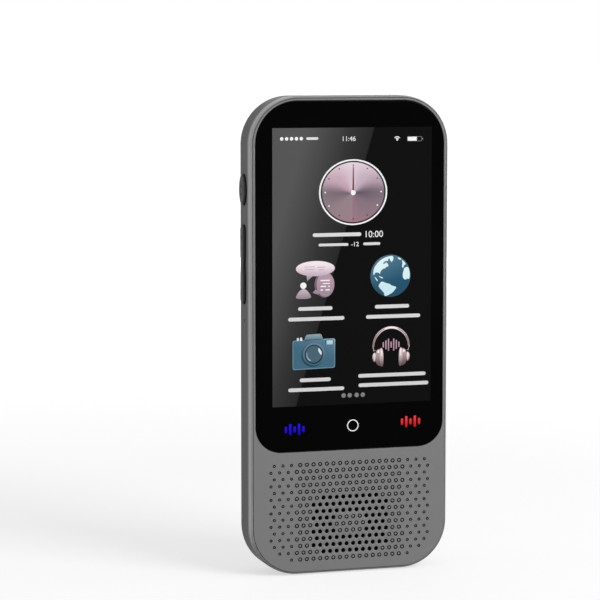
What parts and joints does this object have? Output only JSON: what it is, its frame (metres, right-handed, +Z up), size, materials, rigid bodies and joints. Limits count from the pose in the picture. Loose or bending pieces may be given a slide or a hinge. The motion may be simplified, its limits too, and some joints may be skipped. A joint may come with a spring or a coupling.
{
  "type": "handheld translator",
  "caption": "Slab-shaped handheld voice translator with a glass touch screen, a speaker grille below it, a rear camera and keys that press in on both sides.",
  "frame": {"origin": "middle of the device's foot, halfway through its full depth", "axes": "+Z up along the device, -Y out of the screen, +X to the right as its user sees it"},
  "size_m": [0.0662, 0.0158, 0.1488],
  "materials": {
    "grey_shell": "satin",
    "black_glass": "polished",
    "display": "gloss",
    "adhesive": "matte",
    "flex": "satin",
    "steel": "satin",
    "board": "satin",
    "battery": "satin",
    "black_plastic": "matte",
    "cloth": "matte",
    "rubber": "matte",
    "dark_metal": "radially brushed",
    "lens": "polished",
    "clear_glass": "polished",
    "key_grey": "satin",
    "key_blue": "satin",
    "key_red": "satin"
  },
  "bodies": {
    "casing": {"mid_frame": "grey_shell", "front_plate": "grey_shell", "back_cover": "grey_shell", "cover_glass": "black_glass", "glass_adhesive": "adhesive", "display_panel": "display", "display_flex": "flex", "chassis_plate": "steel", "main_board": "board", "board_screw_1": "steel", "board_screw_2": "steel", "board_screw_3": "steel", "board_screw_4": "steel", "shield_can": "steel", "battery": "battery", "battery_protection_board": "board", "main_flex": "flex", "usb_shell": "steel", "usb_tongue": "black_plastic", "lower_board": "board", "lower_screw_left": "steel", "lower_screw_right": "steel", "speaker_mesh": "cloth", "speaker_gasket": "rubber", "speaker_basket": "black_plastic", "speaker_cone": "cloth", "speaker_magnet": "steel", "camera_trim_ring": "dark_metal", "camera_window": "clear_glass", "camera_module": "black_plastic", "camera_barrel": "black_plastic", "camera_lens": "lens", "antenna_strip": "flex", "key_board_left": "board", "key_board_right": "board", "microphone_left": "steel", "mic_boot_left": "rubber", "microphone_right": "steel", "mic_boot_right": "rubber", "power_switch": "black_plastic", "volume_up_switch": "black_plastic", "volume_down_switch": "black_plastic", "function_switch": "black_plastic", "blue_switch": "black_plastic", "red_switch": "black_plastic"},
    "power_button": {"power_key": "key_grey", "power_plunger": "black_plastic"},
    "volume_button": {"volume_rocker": "key_grey", "volume_up_plunger": "black_plastic", "volume_down_plunger": "black_plastic"},
    "function_button": {"function_key": "key_grey", "function_plunger": "black_plastic"},
    "blue_button": {"blue_key": "key_blue", "blue_plunger": "black_plastic"},
    "red_button": {"red_key": "key_red", "red_plunger": "black_plastic"}
  },
  "joints": [
    {"name": "power_press", "type": "slide", "parent": "casing", "child": "power_button", "axis": [1, 0, 0], "range_m": [0, 0.00035], "stiffness_N_per_m": 3000},
    {"name": "volume_tip", "type": "hinge", "parent": "casing", "child": "volume_button", "pos_m": [-0.0305, -0.0007, 0.0969], "axis": [0, 1, 0], "range_deg": [-1.3, 1.3], "stiffness_Nm_per_rad": 0.4},
    {"name": "function_press", "type": "slide", "parent": "casing", "child": "function_button", "axis": [-1, 0, 0], "range_m": [0, 0.00035], "stiffness_N_per_m": 3000},
    {"name": "blue_press", "type": "slide", "parent": "casing", "child": "blue_button", "axis": [-1, 0, 0], "range_m": [0, 0.00035], "stiffness_N_per_m": 3000},
    {"name": "red_press", "type": "slide", "parent": "casing", "child": "red_button", "axis": [-1, 0, 0], "range_m": [0, 0.00035], "stiffness_N_per_m": 3000}
  ]
}
